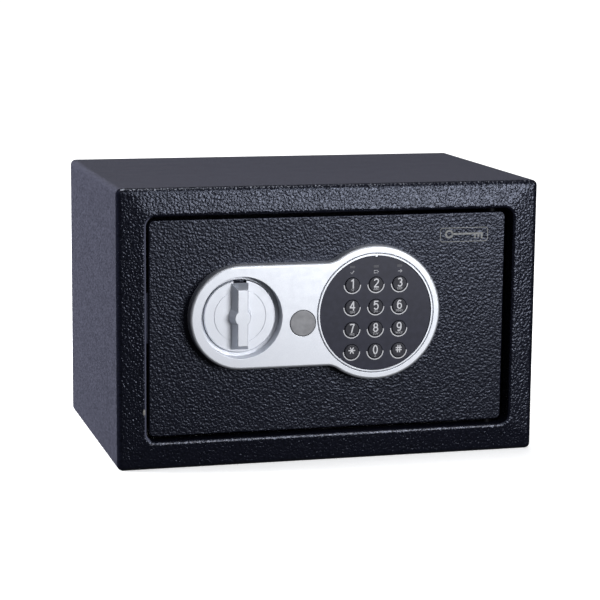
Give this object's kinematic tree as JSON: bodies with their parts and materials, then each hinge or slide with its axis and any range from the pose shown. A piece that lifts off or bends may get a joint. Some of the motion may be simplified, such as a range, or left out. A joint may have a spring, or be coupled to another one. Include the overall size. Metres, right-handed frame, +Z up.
{
  "type": "in room safe",
  "caption": "Small steel in-room safe: folded cabinet, textured frame, right-hinged recessed door with a keyhole-shaped bezel, round keypad, turning knob, sliding bolts and emergency lock.",
  "frame": {"origin": "centre of the cabinet's underside, 310 by 200 mm footprint", "axes": "+X to the right of someone facing the door, +Y from the door to the back, +Z up"},
  "size_m": [0.31, 0.208, 0.2],
  "materials": {
    "body_paint": "fine matt powder coat",
    "frame_paint": "wrinkle texture powder coat",
    "door_paint": "wrinkle texture powder coat",
    "bezel_silver": "satin silver",
    "knob_silver": "satin silver",
    "ring_bright": "bright",
    "panel_dark": "fine matt",
    "key_dark": "fine matt",
    "light_window": "smoked",
    "cap_grey": "fine matt",
    "lock_nickel": "nickel plated",
    "lock_brass": "machined",
    "zinc_steel": "zinc plated",
    "bolt_steel": "ground and plated",
    "nylon": "natural nylon",
    "silicone": "soft",
    "board_green": "solder resist",
    "part_black": "moulded",
    "coil_tape": "taped winding",
    "cell_jacket": "printed jacket, no marks",
    "contact_plate": "nickel plated",
    "cover_paint": "fine matt powder coat",
    "tray_plastic": "moulded",
    "lid_plastic": "moulded",
    "red_button": "moulded",
    "felt": "needle felt",
    "lead_sheath": "sheath",
    "spring_wire": "spring steel"
  },
  "bodies": {
    "cabinet": {"body_wrap": "body_paint", "back_panel": "body_paint", "front_frame": "frame_paint", "hinge_brackets": "cover_paint", "floor_mat": "felt"},
    "door": {"door_plate": "door_paint", "hinge_blocks": "zinc_steel", "hinge_pins": "zinc_steel", "bezel": "bezel_silver", "bezel_screws": "zinc_steel", "keypad_ring": "ring_bright", "keypad_panel": "panel_dark", "status_lights": "light_window", "key_mat": "silicone", "keypad_board": "board_green", "spindle_bush": "nylon", "bolt_guide": "zinc_steel", "guide_studs": "zinc_steel", "solenoid_frame": "zinc_steel", "solenoid_coil": "coil_tape", "plunger_spring": "spring_wire", "override_lock_body": "lock_nickel", "override_lock_nut": "lock_nickel", "inner_cover": "cover_paint", "cover_posts": "zinc_steel", "cover_screws": "zinc_steel", "battery_box": "tray_plastic", "batteries": "cell_jacket", "battery_contacts": "contact_plate", "control_board": "board_green", "board_spacers": "nylon", "board_components": "part_black", "keypad_lead": "lead_sheath", "battery_lead": "lead_sheath", "solenoid_lead": "lead_sheath"},
    "knob": {"knob": "knob_silver", "knob_spindle": "zinc_steel", "crank_arm": "zinc_steel"},
    "bolt_work": {"bolt_carrier": "zinc_steel", "bolt_upper": "bolt_steel", "bolt_lower": "bolt_steel", "bolt_screws": "part_black"},
    "plunger": {"solenoid_plunger": "bolt_steel"},
    "override_key_way": {"override_plug": "lock_brass", "override_cam": "zinc_steel"},
    "cap": {"override_cap": "cap_grey"},
    "battery_lid": {"battery_cover": "lid_plastic"},
    "reset": {"reset_button": "red_button"},
    "key_1": {"key_1": "key_dark"},
    "key_2": {"key_2": "key_dark"},
    "key_3": {"key_3": "key_dark"},
    "key_4": {"key_4": "key_dark"},
    "key_5": {"key_5": "key_dark"},
    "key_6": {"key_6": "key_dark"},
    "key_7": {"key_7": "key_dark"},
    "key_8": {"key_8": "key_dark"},
    "key_9": {"key_9": "key_dark"},
    "key_star": {"key_star": "key_dark"},
    "key_0": {"key_0": "key_dark"},
    "key_hash": {"key_hash": "key_dark"}
  },
  "joints": [
    {"name": "door_hinge", "type": "hinge", "parent": "cabinet", "child": "door", "pos_m": [0.12375, -0.0873, 0.1], "axis": [0, 0, 1], "range_deg": [0, 100]},
    {"name": "knob_turn", "type": "hinge", "parent": "door", "child": "knob", "pos_m": [-0.0671, -0.0985, 0.1077], "axis": [0, -1, 0], "range_deg": [0, 80]},
    {"name": "bolt_slide", "type": "slide", "parent": "door", "child": "bolt_work", "axis": [-1, 0, 0], "range_m": [0, 0.01542]},
    {"name": "plunger_slide", "type": "slide", "parent": "door", "child": "plunger", "axis": [0, 0, -1], "range_m": [0, 0.004], "deforming": ["plunger_spring"]},
    {"name": "override_turn", "type": "hinge", "parent": "door", "child": "override_key_way", "pos_m": [-0.0228, -0.09, 0.1023], "axis": [0, -1, 0], "range_deg": [0, 90]},
    {"name": "cap_pull", "type": "slide", "parent": "door", "child": "cap", "axis": [0, -1, 0], "range_m": [0, 0.02]},
    {"name": "battery_lid_swing", "type": "hinge", "parent": "door", "child": "battery_lid", "pos_m": [0.0695, -0.0605, 0.0999], "axis": [-1, 0, 0], "range_deg": [0, 75]},
    {"name": "reset_press", "type": "slide", "parent": "door", "child": "reset", "axis": [0, -1, 0], "range_m": [0, 0.0015], "stiffness_N_per_m": 300, "springref_m": -0.001},
    {"name": "key_1_press", "type": "slide", "parent": "door", "child": "key_1", "axis": [0, 1, 0], "range_m": [0, 0.0006], "stiffness_N_per_m": 300, "springref_m": -0.001},
    {"name": "key_2_press", "type": "slide", "parent": "door", "child": "key_2", "axis": [0, 1, 0], "range_m": [0, 0.0006], "stiffness_N_per_m": 300, "springref_m": -0.001},
    {"name": "key_3_press", "type": "slide", "parent": "door", "child": "key_3", "axis": [0, 1, 0], "range_m": [0, 0.0006], "stiffness_N_per_m": 300, "springref_m": -0.001},
    {"name": "key_4_press", "type": "slide", "parent": "door", "child": "key_4", "axis": [0, 1, 0], "range_m": [0, 0.0006], "stiffness_N_per_m": 300, "springref_m": -0.001},
    {"name": "key_5_press", "type": "slide", "parent": "door", "child": "key_5", "axis": [0, 1, 0], "range_m": [0, 0.0006], "stiffness_N_per_m": 300, "springref_m": -0.001},
    {"name": "key_6_press", "type": "slide", "parent": "door", "child": "key_6", "axis": [0, 1, 0], "range_m": [0, 0.0006], "stiffness_N_per_m": 300, "springref_m": -0.001},
    {"name": "key_7_press", "type": "slide", "parent": "door", "child": "key_7", "axis": [0, 1, 0], "range_m": [0, 0.0006], "stiffness_N_per_m": 300, "springref_m": -0.001},
    {"name": "key_8_press", "type": "slide", "parent": "door", "child": "key_8", "axis": [0, 1, 0], "range_m": [0, 0.0006], "stiffness_N_per_m": 300, "springref_m": -0.001},
    {"name": "key_9_press", "type": "slide", "parent": "door", "child": "key_9", "axis": [0, 1, 0], "range_m": [0, 0.0006], "stiffness_N_per_m": 300, "springref_m": -0.001},
    {"name": "key_star_press", "type": "slide", "parent": "door", "child": "key_star", "axis": [0, 1, 0], "range_m": [0, 0.0006], "stiffness_N_per_m": 300, "springref_m": -0.001},
    {"name": "key_0_press", "type": "slide", "parent": "door", "child": "key_0", "axis": [0, 1, 0], "range_m": [0, 0.0006], "stiffness_N_per_m": 300, "springref_m": -0.001},
    {"name": "key_hash_press", "type": "slide", "parent": "door", "child": "key_hash", "axis": [0, 1, 0], "range_m": [0, 0.0006], "stiffness_N_per_m": 300, "springref_m": -0.001}
  ],
  "couplings": [
    {"joint": "knob_turn", "follows": "bolt_slide", "rad_per_m": 90.508}
  ]
}
